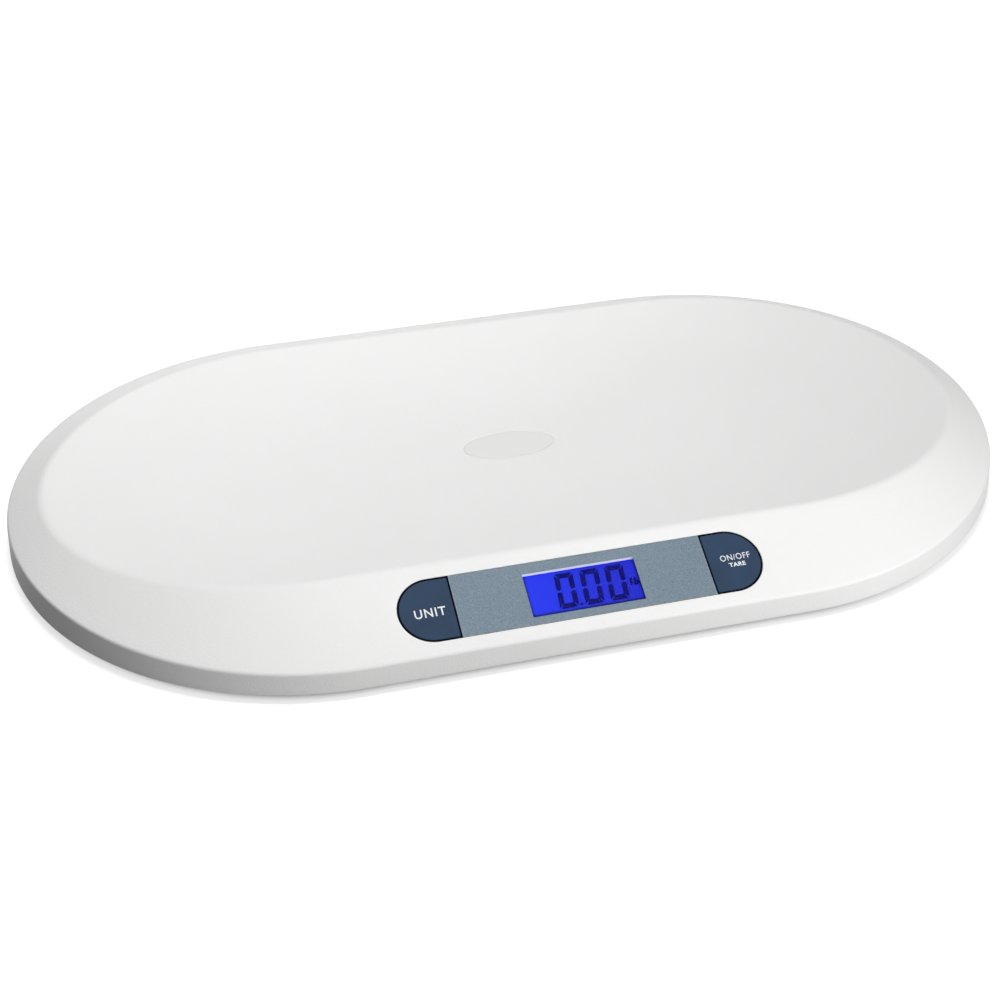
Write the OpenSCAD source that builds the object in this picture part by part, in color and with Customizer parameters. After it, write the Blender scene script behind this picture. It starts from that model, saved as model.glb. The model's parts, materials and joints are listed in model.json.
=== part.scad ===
// Digital baby weighing scale: a one-piece cradle tray on a flat base, four load cells in the
// feet, and a display panel with two keys let into the front slope.
// Millimetres. X runs along the length, the panel faces -Y, and Z = 0 is the table.

/* [Casing] */
// Length over the skirt
body_l = 560; // [556:1:566]
// Width over the skirt
body_w = 330; // [328:1:334]
// Half of the straight stretch of each long side
side_half = 115; // [112:1:118]
// Height of the skirt's lower edge over the table
skirt_z = 5; // [4.9:0.1:5.1]
// How far the skirt leans in from its foot to its shoulder
skirt_draft = 1.2; // [1:0.1:1.4]
// Height of the shoulder in the middle of the length
shoulder_z = 17; // [16.8:0.1:17.4]
// How much higher the shoulder is at the two ends
shoulder_rise = 4.1; // [3.6:0.1:4.5]
// Wall thickness of the tray
wall_t = 2.5; // [2.3:0.1:2.6]

/* [Cradle] */
// Half length of the crest that rings the cradle
crest_l = 259.6; // [258:0.2:261]
// Half width of the crest
crest_w = 119.1; // [118.5:0.1:119.5]
// Half of the crest's straight stretch
crest_half = 120; // [118:1:122]
// How far the crest sits towards the back
crest_y = 2.5; // [2:0.1:3]
// Height of the crest in the middle of the length
crest_z = 37.6; // [37.2:0.1:38]
// How much lower the crest is at the two ends
crest_drop = 8.4; // [7.5:0.1:8.6]
// Height of the cradle's floor
floor_z = 21.4; // [21.2:0.1:22]
// How the cradle's side curves: 1 is a straight funnel, higher is flatter in the middle
bowl_power = 2.3; // [2.2:0.1:2.5]

/* [Panel] */
// Half length of the panel
panel_l = 95; // [94.5:0.1:95.2]
// Half height of the panel, measured up the slope
panel_h = 17.6; // [17.4:0.1:17.8]
// Distance of the panel's middle up the slope from the shoulder
panel_up = 25.2; // [25:0.1:25.4]
// Distance from the middle to the gap between bezel and key
key_edge = 66.5; // [66:0.1:67]
// How far a key goes down
key_travel = 0.5; // [0.3:0.1:0.5]
// Half length of the display window
window_l = 29.2; // [28.5:0.1:30]
// Half height of the display window
window_h = 12.3; // [11.8:0.1:12.6]

/* [Feet] */
// Distance of each foot from the middle, along the length
foot_x = 185; // [182:1:188]
// Distance of each foot from the middle, across the width
foot_y = 95; // [92:1:97]
// Radius of the rubber pad
pad_r = 14.5; // [13.5:0.5:15]
// How far a foot hangs down when the scale is lifted
foot_play = 0.5; // [0.3:0.1:0.5]

/* [Hidden] */
$fn = 48;
half_l = body_l / 2;
half_w = body_w / 2;
level_half = 100;        // the long sides keep one height up to here
arc_steps = 40;          // steps round each end
side_marks = [0.86, 0.5, 0, -0.5, -0.86];
shoulder_round = 1.8;    // how far the shoulder's rounding reaches from the corner
crest_round = 2.8;
inner_round = 2;

// the front slope, from which the panel's own frame follows
slope_foot = [-(half_w - skirt_draft), shoulder_z];
slope_top = [crest_y - crest_w, crest_z];
slope_a = atan2(slope_top[1] - slope_foot[1], slope_top[0] - slope_foot[0]);
panel_y = slope_foot[0] + panel_up * cos(slope_a);
panel_z = slope_foot[1] + panel_up * sin(slope_a);
drop_t = wall_t / cos(slope_a);

// panel levels, measured along its outward normal from the tray's outer face
bezel_t = 2.2;
lip_t = 0.9;
ledge_w = -3;            // carrier's floor, upper face
ledge_t = 1.6;
rim_t = 0.6;
flange_l = 98.4;         // carrier's flange behind the tray's wall
flange_h = 21;
key_gap = 0.3;
slot_gap = 0.4;          // half of the dark slot between bezel and key
window_v = -1;           // the window sits a little low in the panel
glass_l = 31;
glass_h = 14;
glass_t = 2.8;
glass_w = ledge_w - 0.1;
guide_t = 3.3;
board_w = -9.5;          // circuit board, upper face
board_t = 1.6;
board_l = 90;
board_h = 16.8;
key_x = 80;              // middle of each key and of its switch
post_r = 2.5;
post_fit = 0.06;
switch_t = 3.5;
switch_top = board_w + switch_t;
post_w = switch_top + key_travel + 0.1; // where a key's post meets its switch
stem_r = 1.7;
stake_x = 48;            // the four screwed posts under the carrier
stake_v = 11;

// base
cover_z = 5.2;
cover_t = 2;
cover_top = cover_z + cover_t;
cover_inset = 3.3;
rib_top = 10.2;
screw_inset = 8.2;
boss_z = 9.3;
boss_top = 13.5;
head_r = 2.8;
head_t = 1.7;

// foot and load cell
pad_t = 3;
cup_z = 2;
cup_r = 16;
neck_r = 11.8;
flange_z = cover_top + foot_play + 0.1;
flange_t = 0.6;
flange_r = 13.8;
button_r = 4;
cell_z = 9;
cell_t = 2.5;
cell_h = 17;
holder_h = 20.5;
holder_lid = 12.7;
holder_top = 14.2;
ear_y = 26;              // the holder's screw ears lie across the width
ear_r = 4.5;
lead_z = 10.1;           // where the leads leave the load cells

// battery bay, with four standard cells of 10.5 by 44.5
bay_x = 25.5;
bay_y0 = 51;
bay_y1 = 95.2;
bay_top = 18.1;
block_x = 30;
block_y0 = 47;
block_y1 = 100;
block_top = 19.5;
door_x = 27.7;
door_y0 = 49.2;
door_y1 = 97.7;
door_t = 1.6;
door_gap = 0.3;
tab_x = 15;
tab_w = 8;
battery_r = 5.25;
battery_l = 43.7;
battery_step = 10.9;
battery_y = 56.6;
battery_z = 12.55;
plate_x = 25;
plate_t = 0.4;
nub_l = 0.8;

corners = [[-1, -1], [1, -1], [-1, 1], [1, 1]];

// ---------- shared shapes ----------

// zero along the middle, one at the very ends
function rise(x) = pow(max(abs(x) - level_half, 0) / (half_l - level_half), 2);

// stations round a stadium, counter-clockwise: share of the straight, then the end's cosine and sine
stations = concat(
  [for (i = [0:arc_steps]) let (a = -90 + 180 * i / arc_steps) [1, cos(a), sin(a)]],
  [for (m = side_marks) [m, 0, 1]],
  [for (i = [0:arc_steps]) let (a = 90 + 180 * i / arc_steps) [-1, cos(a), sin(a)]],
  [for (m = side_marks) [-m, 0, -1]]
);
ring_n = len(stations);

function place(st, l, w, s, y = 0) = [st[0] * s + st[1] * (l - s), y + st[2] * w];
function inset_ring(d) = [for (st = stations) place(st, half_l - d, half_w - d, side_half)];
function mix(a, b, t) = a + (b - a) * t;
function unit(v) = v / norm(v);
function with_z(p, z) = [p[0], p[1], z];

// a quadratic rounding that leaves a, heads for b and arrives at c
function rounding(a, b, c, n) =
  [for (i = [0:n]) let (t = i / n) (1 - t) * (1 - t) * a + 2 * t * (1 - t) * b + t * t * c];

// corner points of the outer skin at one station
function foot_pt(st, d) = with_z(place(st, half_l - d, half_w - d, side_half), skirt_z);
function shoulder_pt(st, d, dz) =
  let (p = place(st, half_l - skirt_draft - d, half_w - skirt_draft - d, side_half))
  with_z(p, shoulder_z + shoulder_rise * rise(p[0]) + dz);
function crest_pt(st, dz) =
  let (p = place(st, crest_l, crest_w, crest_half, crest_y))
  with_z(p, crest_z - crest_drop * rise(p[0]) + dz);
function bowl_pt(st, s, dz) =
  let (c = crest_pt(st, 0), p = mix([0, crest_y], [c[0], c[1]], s))
  with_z(p, floor_z + (c[2] - floor_z) * pow(s, bowl_power) + dz);
function crest_reach(st) = norm([crest_pt(st, 0)[0], crest_pt(st, 0)[1] - crest_y]);

// one station's profile, from the skirt's foot over shoulder and crest into the bowl
function profile(foot, shoulder, crest, st, dz, r1, r2, n, steps) =
  concat(
    [foot],
    rounding(shoulder + unit(foot - shoulder) * r1, shoulder, shoulder + unit(crest - shoulder) * r1, n),
    rounding(crest + unit(shoulder - crest) * r2, crest, bowl_pt(st, 1 - r2 / crest_reach(st), dz), n),
    [for (s = steps) bowl_pt(st, s, dz)]
  );
outer_steps = [0.9, 0.8, 0.7, 0.6, 0.5, 0.4, 0.3, 0.2, 0.1];
inner_steps = [0.9, 0.75, 0.6, 0.45, 0.3, 0.15];
outer_paths = [for (st = stations)
  profile(foot_pt(st, 0), shoulder_pt(st, 0, 0), crest_pt(st, 0), st, 0,
          shoulder_round, crest_round, 4, outer_steps)];
inner_paths = [for (st = stations)
  profile(foot_pt(st, wall_t), shoulder_pt(st, wall_t, wall_t * tan(slope_a) - drop_t),
          crest_pt(st, -drop_t), st, -drop_t, inner_round, inner_round, 2, inner_steps)];

// a closed skin from rings that run from one pole to the other
module skin(pole_a, rings, pole_b) {
  n = len(rings[0]);
  last = len(rings) - 1;
  points = concat([pole_a, pole_b], [for (r = rings) each r]);
  function id(j, i) = 2 + j * n + i % n;
  polyhedron(points, concat(
    [for (i = [0:n - 1]) [0, id(0, i), id(0, i + 1)]],
    [for (j = [0:last - 1]) for (i = [0:n - 1])
      each [[id(j, i), id(j + 1, i), id(j + 1, i + 1)], [id(j, i), id(j + 1, i + 1), id(j, i + 1)]]],
    [for (i = [0:n - 1]) [id(last, i), 1, id(last, i + 1)]]
  ), convexity = 6);
}

// a round tube swept along a path
function heading(path, i) = unit(path[min(i + 1, len(path) - 1)] - path[max(i - 1, 0)]);
function hoop(c, t, r, sides) =
  let (a = unit(cross(abs(t[2]) > 0.9 ? [1, 0, 0] : [0, 0, 1], t)), b = cross(t, a))
  [for (k = [0:sides - 1]) c + r * (cos(360 * k / sides) * a + sin(360 * k / sides) * b)];
module tube(path, r, sides) {
  last = len(path) - 1;
  skin(path[0], [for (i = [0:last]) hoop(path[i], heading(path, i), r, sides)], path[last]);
}
function spline(p, i, t) =
  let (a = p[max(i - 1, 0)], b = p[i], c = p[i + 1], d = p[min(i + 2, len(p) - 1)])
  0.5 * (2 * b + (c - a) * t + (2 * a - 5 * b + 4 * c - d) * t * t + (3 * b - a - 3 * c + d) * t * t * t);
function smooth(p, n) =
  concat([for (i = [0:len(p) - 2]) for (k = [0:n - 1]) spline(p, i, k / n)], [p[len(p) - 1]]);

// panel frame: x along the panel, y up the slope, z out of the slope
module on_panel() {
  translate([0, panel_y, panel_z]) rotate([slope_a, 0, 0]) children();
}
function half_disc(x, r, from) = [for (i = [0:24]) let (a = from + 7.5 * i) [x + r * cos(a), r * sin(a)]];
function pill_ring(l, h) = concat(half_disc(l - h, h, -90), half_disc(h - l, h, 90));
module pill(l, h, z0, z1) {
  translate([0, 0, z0]) linear_extrude(z1 - z0) polygon(pill_ring(l, h));
}
module slab(x0, x1, y0, y1, z0, z1) {
  translate([x0, y0, z0]) cube([x1 - x0, y1 - y0, z1 - z0]);
}
module rod(x, y, r, z0, z1) {
  translate([x, y, z0]) cylinder(r = r, h = z1 - z0);
}
module each_foot() {
  for (c = corners) translate([c[0] * foot_x, c[1] * foot_y, 0]) children();
}
module at_foot(i) {
  translate([corners[i][0] * foot_x, corners[i][1] * foot_y, 0]) children();
}
// the base screws: three round each end and two along each long side
module each_screw() {
  for (side = [0, 180]) for (a = [-60, 0, 60]) rotate([0, 0, side])
    translate([side_half, 0, 0]) rotate([0, 0, a]) translate([half_w - screw_inset, 0, 0]) children();
  for (x = [-level_half, level_half]) for (side = [-90, 90])
    translate([x, 0, 0]) rotate([0, 0, side]) translate([half_w - screw_inset, 0, 0]) children();
}
// pan-head screw that points up, with a cross recess in its head
module screw_up(r, z_head, z_tip, hr, ht) {
  difference() {
    union() {
      rod(0, 0, hr, z_head, z_head + ht);
      rod(0, 0, r, z_head + ht, z_tip);
    }
    for (a = [0, 90]) rotate([0, 0, a]) slab(-hr * 0.6, hr * 0.6, -0.4, 0.4, z_head - 1, z_head + 0.9);
  }
}
module screw_down(r, z_head, z_tip, hr, ht) {
  translate([0, 0, z_head]) mirror([0, 0, 1]) screw_up(r, 0, z_head - z_tip, hr, ht);
}

// ---------- casing ----------

badge_l = 26;
badge_h = 13;
badge_y = 3.9;
badge_z = floor_z - 0.6;
module oval(grow, z0, z1) {
  translate([0, badge_y, z0]) linear_extrude(z1 - z0)
    polygon([for (i = [0:71]) [(badge_l + grow) * cos(5 * i), (badge_h + grow) * sin(5 * i)]]);
}

module tray_shell() {
  color("whitesmoke") difference() {
    union() {
      skin([0, crest_y, floor_z - drop_t],
           concat([for (j = [len(inner_paths[0]) - 1:-1:0]) [for (p = inner_paths) p[j]]],
                  [for (j = [0:len(outer_paths[0]) - 1]) [for (p = outer_paths) p[j]]]),
           [0, crest_y, floor_z]);
      each_screw() rod(0, 0, 4, boss_z, boss_top);
      each_screw() slab(2, screw_inset - 1.6, -1.5, 1.5, boss_z, boss_top);
    }
    each_screw() rod(0, 0, 1.5, boss_z - 1, boss_top - 1);
    on_panel() pill(panel_l + 0.15, panel_h + 0.15, -8, 8);
    oval(0.1, badge_z, floor_z + 6);
  }
}

module center_badge() {
  color("gainsboro") oval(0, badge_z, floor_z + 0.12);
}

module bay_block() {
  slab(-block_x, block_x, block_y0, block_y1, cover_z, block_top);
}
module bay_hollows() {
  slab(-door_x - door_gap, door_x + door_gap, door_y0 - 0.2, door_y1 + door_gap,
       cover_z - 1, cover_z + door_t + 0.1);
  slab(-bay_x, bay_x, bay_y0, bay_y1, cover_z, bay_top);
  for (x = [-tab_x, tab_x]) {
    slab(x - tab_w / 2 - 0.4, x + tab_w / 2 + 0.4, block_y0 - 1, bay_y0 + 0.5, cover_top, 11);
    slab(x - tab_w / 2 - 0.4, x + tab_w / 2 + 0.4, door_y0 - 0.2, bay_y0 + 0.5, cover_z, 11);
  }
  // fingertip scoop beside the latch
  translate([0, block_y1 + 1, cover_z - 5]) cylinder(r = 9, h = 6.2);
}

module bottom_cover() {
  color("white") difference() {
    union() {
      translate([0, 0, cover_z]) linear_extrude(cover_t) polygon(inset_ring(cover_inset));
      translate([0, 0, cover_top - 0.5]) linear_extrude(2) difference() {
        polygon(inset_ring(cover_inset + 0.2));
        polygon(inset_ring(cover_inset + 1.6));
      }
      each_screw() rod(0, 0, 4.4, cover_top - 0.5, boss_z - 0.1);
      for (y = [-35, 35]) slab(-230, 230, y - 0.8, y + 0.8, cover_top - 0.5, rib_top);
      for (x = [-120, -60, 60, 120]) slab(x - 0.8, x + 0.8, -118, 118, cover_top - 0.5, rib_top);
      for (x = [-215, 215]) slab(x - 0.8, x + 0.8, -60, 60, cover_top - 0.5, rib_top);
      each_foot() for (y = [-ear_y, ear_y]) rod(0, y, 3.2, cover_top - 0.5, holder_lid);
      bay_block();
    }
    each_screw() rod(0, 0, 1.7, cover_z - 1, boss_z + 1);
    each_screw() rod(0, 0, 3.2, cover_z - 1, cover_top);
    each_foot() rod(0, 0, 12.8, cover_z - 1, cover_top + 1);
    each_foot() for (y = [-ear_y, ear_y]) rod(0, y, 1.2, 8, holder_lid + 1);
    bay_hollows();
    // lead holes in the bay's left wall, at the first and the last cell
    for (i = [0, 3]) translate([-block_x - 1, battery_row(i), battery_z])
      rotate([0, 90, 0]) cylinder(r = 1.2, h = block_x + 1.5 - bay_x);
  }
}

module cover_screws() {
  color("silver") each_screw()
    screw_up(1.45, cover_top - head_t - 0.2, boss_top - 1.4, head_r, head_t + 0.2);
}

// ---------- display panel ----------

module panel_gasket() {
  color("dimgray") on_panel() difference() {
    pill(flange_l, flange_h, ledge_w + 0.1, -wall_t - 0.02);
    pill(panel_l + 0.4, panel_h + 0.4, ledge_w - 1, 0);
  }
}

module panel_carrier() {
  inner_l = panel_l - rim_t;
  inner_h = panel_h - rim_t;
  color([0.08, 0.08, 0.09]) on_panel() difference() {
    union() {
      pill(flange_l, flange_h, ledge_w - ledge_t, ledge_w + 0.1);
      pill(panel_l, panel_h, ledge_w, -0.1);
      for (s = [-1, 1]) rod(s * key_x, 0, 4.4, -5, ledge_w - 1);
      for (x = [-stake_x, stake_x]) for (v = [-stake_v, stake_v]) rod(x, v, 2.6, board_w, ledge_w - 1);
    }
    pill(inner_l, inner_h, ledge_w, 2);
    // the rim is lower where the bezel's lip lies on it
    slab(-key_edge + slot_gap, key_edge - slot_gap, -30, 30, -lip_t - 0.1, 2);
    slab(-glass_l - 0.3, glass_l + 0.3, window_v - glass_h - 0.3, window_v + glass_h + 0.3, -10, 1);
    for (s = [-1, 1]) rod(s * key_x, 0, post_r + post_fit, -10, 1);
    for (x = [-stake_x, stake_x]) for (v = [-stake_v, stake_v]) rod(x, v, 1.05, board_w - 1, -4.2);
  }
}

module display_bezel() {
  half = key_edge - slot_gap - 0.1;
  color("lightslategray") on_panel() difference() {
    union() {
      slab(-half, half, -panel_h + 0.1, panel_h - 0.1, -lip_t, 0);
      slab(-half, half, -panel_h + rim_t + 0.1, panel_h - rim_t - 0.1, -bezel_t, -lip_t + 0.1);
    }
    slab(-window_l, window_l, window_v - window_h, window_v + window_h, -5, 5);
  }
}

module display_window() {
  color([0.85, 0.9, 1, 0.4]) on_panel()
    slab(-33, 33, window_v - 15.6, window_v + 15.6, ledge_w, -bezel_t);
}

module lcd_cell() {
  color("mediumblue") on_panel() union() {
    slab(-glass_l, glass_l, window_v - glass_h + 2, window_v + glass_h, glass_w - glass_t, glass_w);
    slab(-glass_l, glass_l, window_v - glass_h, window_v + glass_h, glass_w - glass_t / 2, glass_w);
  }
}

module light_guide() {
  color("aliceblue") on_panel()
    slab(-glass_l + 1.5, glass_l - 0.5, window_v - 11.4, window_v + 13.4,
         glass_w - glass_t - guide_t, glass_w - glass_t);
}

module backlight_leds() {
  color("lightyellow") on_panel() for (v = [-7, 7])
    slab(-glass_l + 0.2, -glass_l + 1.4, window_v + v - 2, window_v + v + 2,
         glass_w - glass_t - guide_t + 0.4, glass_w - glass_t - 0.6);
}

module lcd_holder() {
  color("white") on_panel() difference() {
    slab(-glass_l - 1.8, glass_l + 1.8, window_v - glass_h - 1.7, window_v + glass_h + 1.7,
         board_w, ledge_w - ledge_t - 0.1);
    slab(-glass_l - 0.15, glass_l + 0.15, window_v - glass_h - 0.15, window_v + glass_h + 0.15,
         board_w - 1, 0);
  }
}

module zebra_strip() {
  color("slategray") on_panel()
    slab(-26, 26, window_v - glass_h + 0.1, window_v - glass_h + 1.9, board_w, glass_w - glass_t / 2);
}

module circuit_board() {
  color("darkgreen") on_panel() difference() {
    slab(-board_l, board_l, -board_h, board_h, board_w - board_t, board_w);
    for (x = [-stake_x, stake_x]) for (v = [-stake_v, stake_v]) rod(x, v, 1.3, board_w - 3, board_w + 1);
  }
}

module board_screws() {
  color("silver") on_panel() for (x = [-stake_x, stake_x]) for (v = [-stake_v, stake_v])
    translate([x, v, 0]) screw_up(1, board_w - board_t - 1.4, board_w + 4, 2.1, 1.4);
}

module control_chip() {
  color([0.1, 0.1, 0.1]) on_panel() union() {
    rod(-12, -2, 6, board_w - board_t - 0.8, board_w - board_t);
    rod(-12, -2, 4.4, board_w - board_t - 1.4, board_w - board_t - 0.7);
  }
}

module clock_crystal() {
  color("silver") on_panel() slab(-30, -25, -4, -2, board_w - board_t - 2, board_w - board_t);
}

// small resistors and capacitors in two rows beside the chip
module small_parts() {
  color("tan") on_panel() for (i = [0:5]) for (v = [-12, -8.5])
    slab(2 + 4 * i, 4 + 4 * i, v, v + 1.2, board_w - board_t - 0.7, board_w - board_t);
}

// two sockets under the board for the leads, open towards the back
socket_w = board_w - board_t;
module wire_sockets() {
  color("ivory") on_panel() for (s = [[16, 34], [-30, -20]]) difference() {
    slab(s[0], s[1], 2, 9, socket_w - 5.6, socket_w);
    slab(s[0] + 1, s[1] - 1, 5, 10, socket_w - 4.6, socket_w - 1);
  }
}

// ---------- keys ----------

// a D-shaped cap over a round post, for the right-hand end
module key_cap() {
  x0 = key_edge + slot_gap;
  l = panel_l - rim_t - key_gap;
  h = panel_h - rim_t - key_gap;
  translate([0, 0, -bezel_t]) linear_extrude(bezel_t)
    polygon(concat([[x0, -h]], half_disc(l - h, h, -90), [[x0, h]]));
  rod(key_x, 0, post_r, post_w, -bezel_t + 0.5);
}
module unit_key() {
  color([0.24, 0.3, 0.38]) on_panel() mirror([1, 0, 0]) key_cap();
}
module power_key() {
  color([0.24, 0.3, 0.38]) on_panel() key_cap();
}
module key_switch() {
  difference() {
    slab(key_x - 3, key_x + 3, -3, 3, board_w, switch_top);
    rod(key_x, 0, stem_r + post_fit, board_w + 1.8, switch_top + 1);
  }
}
module key_stem() {
  rod(key_x, 0, stem_r, post_w - 1.5, post_w);
}
module unit_switch() {
  color("dimgray") on_panel() mirror([1, 0, 0]) key_switch();
}
module power_switch() {
  color("dimgray") on_panel() key_switch();
}
module unit_stem() {
  color("sienna") on_panel() mirror([1, 0, 0]) key_stem();
}
module power_stem() {
  color("sienna") on_panel() key_stem();
}

// ---------- feet and load cells ----------

module foot_pad() {
  color("gray") rotate_extrude()
    polygon([[0, 0], [pad_r - 0.8, 0], [pad_r, 0.8], [pad_r, pad_t], [0, pad_t]]);
}
module foot_cup() {
  top = flange_z + flange_t;
  color("white") rotate_extrude() polygon([
    [0, pad_t], [pad_r + 0.05, pad_t], [pad_r + 0.05, cup_z], [cup_r, cup_z], [cup_r, 4.6],
    [neck_r, 4.6], [neck_r, flange_z], [flange_r, flange_z], [flange_r, top],
    [button_r, top], [button_r, cell_z], [0, cell_z]
  ]);
}
// a steel plate whose tongue is free on three sides, so that a load on it bends the plate
module load_cell() {
  color("silver") difference() {
    slab(-cell_h, cell_h, -cell_h, cell_h, cell_z, cell_z + cell_t);
    slab(-8.5, 8.5, 6.5, 8.5, cell_z - 1, cell_z + 4);
    for (s = [-1, 1]) slab(s * 7.5 - 1, s * 7.5 + 1, -10, 8.5, cell_z - 1, cell_z + 4);
    for (x = [-14, 14]) for (y = [-14, 14]) rod(x, y, 1.2, cell_z - 1, cell_z + 4);
  }
}
module cell_holder(side) {
  color("white") difference() {
    union() {
      slab(-holder_h, holder_h, -holder_h, holder_h, cover_top, holder_top);
      slab(-ear_r, ear_r, -ear_y - 4, ear_y + 4, holder_lid, holder_top);
    }
    slab(-cell_h - 0.3, cell_h + 0.3, -cell_h - 0.3, cell_h + 0.3, cover_top - 1, cell_z + cell_t);
    slab(-13, 13, -13, 13, cell_z, holder_lid);
    rod(0, 0, 4, holder_lid - 1, holder_top + 1);
    for (y = [-ear_y, ear_y]) rod(0, y, 1.4, holder_lid - 1, holder_top + 1);
    // way out for the leads, towards the middle of the scale
    translate([-side * holder_h, 0, 0]) slab(-5, 5, -1.8, 1.8, cell_z - 0.3, cell_z + cell_t);
  }
}
module strain_gauges() {
  color("goldenrod") each_foot() for (s = [-1, 1])
    slab(s * 11 - 2, s * 11 + 2, -4, 3, cell_z + cell_t, cell_z + cell_t + 0.4);
}
module holder_screws() {
  color("silver") each_foot() for (y = [-ear_y, ear_y])
    translate([0, y, 0]) screw_down(1.1, holder_top + 1.6, 8.6, 2.4, 1.6);
}

// ---------- batteries ----------

module battery_door() {
  color("white") difference() {
    union() {
      slab(-door_x, door_x, door_y0, door_y1, cover_z, cover_z + door_t);
      for (x = [-tab_x, tab_x]) {
        slab(x - tab_w / 2, x + tab_w / 2, door_y0, door_y0 + 1.4, cover_z + door_t - 0.5, 8.6);
        slab(x - tab_w / 2, x + tab_w / 2, block_y0 - 0.2, door_y0 + 1.4, cover_top + 0.2, 8.6);
      }
    }
    // slots that free the latch's tongue, and grip lines across it
    for (x = [-9, 9]) slab(x - 0.5, x + 0.5, door_y1 - 12, door_y1 + 1, cover_z - 1, 8);
    for (i = [0:2]) slab(-6, 6, door_y1 - 4 - 2 * i, door_y1 - 3.2 - 2 * i, cover_z - 1, cover_z + 0.4);
  }
}

function battery_row(i) = battery_y + battery_step * i;
function battery_end(i) = i % 2 == 0 ? 1 : -1;
module battery_cells() {
  color("forestgreen") for (i = [0:3]) translate([0, battery_row(i), battery_z])
    rotate([0, battery_end(i) * 90, 0]) union() {
      rod(0, 0, battery_r, plate_x - nub_l - battery_l, plate_x - nub_l);
      rod(0, 0, 1.9, plate_x - nub_l - 0.5, plate_x);
    }
}
module battery_plates() {
  color("silver") for (i = [0:3]) for (s = [-1, 1])
    translate([s * (plate_x + plate_t / 2), battery_row(i), battery_z])
      cube([plate_t, 8, 9], center = true);
}
spring_turns = 3;
spring_steps = 10;
spring_wire = 0.35;
spring_gap = 2 * plate_x - nub_l - battery_l - 2 * spring_wire - 0.04;
spring_path = [for (k = [0:spring_turns * spring_steps])
  let (t = k / (spring_turns * spring_steps), r = mix(3.6, 2, t))
  [r * cos(360 * spring_turns * t), r * sin(360 * spring_turns * t), t * spring_gap]];
module battery_springs() {
  color("silver") for (i = [0:3])
    translate([-battery_end(i) * (plate_x - spring_wire - 0.02), battery_row(i), battery_z])
      rotate([0, battery_end(i) * 90, 0]) tube(spring_path, spring_wire, 6);
}

// ---------- leads ----------

// each lead leaves its load cell towards the middle, passes over the base's ribs and drops into
// its socket under the board
function lead_start(c) =
  [for (p = [[0, lead_z], [3, lead_z], [6, lead_z], [12, 12]])
    [c[0] * (foot_x - cell_h - p[0]), c[1] * foot_y, p[1]]];
function lead_end(x) = [[x, -119, 21], [x, -126.9, 17.9], [x, -129.6, 16.7]];
cell_routes = [
  concat(lead_start(corners[0]),
         [[-140, -98, 15], [-60, -100, 15], [0, -101, 16], [14, -104, 18.5], [19, -112, 21.5]],
         lead_end(19)),
  concat(lead_start(corners[1]),
         [[140, -98, 15], [80, -100, 15], [42, -101, 16], [33, -105, 18.5], [31, -112, 21.5]],
         lead_end(31)),
  concat(lead_start(corners[2]),
         [[-148, 78, 15], [-146, 0, 15], [-140, -78, 15], [-118, -94, 15], [-40, -96, 15],
          [8, -97, 16], [20, -104, 18.5], [23, -112, 21.5]],
         lead_end(23)),
  concat(lead_start(corners[3]),
         [[148, 78, 15], [146, 0, 15], [140, -78, 15], [118, -94, 15], [70, -96, 15],
          [38, -97, 16], [29, -104, 18.5], [27, -112, 21.5]],
         lead_end(27))
];
module cell_leads() {
  color("gray") for (route = cell_routes) tube(smooth(route, 3), 1.1, 8);
}
// from a contact plate out through the bay's left wall, then forward under the load cells' leads
function battery_route(i, x1, x2) =
  concat([for (x = [-plate_x - plate_t, -29, -33]) [x, battery_row(i), battery_z]],
         [[x1, battery_row(i) - 6, 12], [x1, 20, 11.6], [x2, -20, 11.6], [x2, -60, 11.6],
          [x2, -100, 11.8], [x2, -107, 14], [x2, -111, 18], [x2, -115, 20.6]],
         lead_end(x2));
module red_lead() {
  color("firebrick") tube(smooth(battery_route(3, -39, -27), 3), 0.8, 8);
}
module black_lead() {
  color([0.1, 0.1, 0.1]) tube(smooth(battery_route(0, -36, -23), 3), 0.8, 8);
}

// ---------- assembly ----------

corner_names = ["front_left", "front_right", "back_left", "back_right"];
function corner_nodes(piece) = [for (c = corner_names) str(piece, "_", c)];

tray_shell();
bottom_cover();
cover_screws();
center_badge();
panel_gasket();
panel_carrier();
display_bezel();
display_window();
lcd_cell();
light_guide();
backlight_leds();
lcd_holder();
zebra_strip();
circuit_board();
board_screws();
control_chip();
clock_crystal();
small_parts();
wire_sockets();
unit_key();
power_key();
unit_switch();
power_switch();
unit_stem();
power_stem();
for (i = [0:3]) {
  at_foot(i) foot_pad();
  at_foot(i) foot_cup();
  at_foot(i) load_cell();
  at_foot(i) cell_holder(corners[i][0]);
}
strain_gauges();
holder_screws();
battery_door();
battery_cells();
battery_plates();
battery_springs();
cell_leads();
red_lead();
black_lead();
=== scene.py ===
# Looks for a digital baby weighing scale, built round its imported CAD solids.
import json
import math

import bmesh
import bpy
from mathutils import Matrix, Vector
from mathutils.geometry import delaunay_2d_cdt


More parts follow.
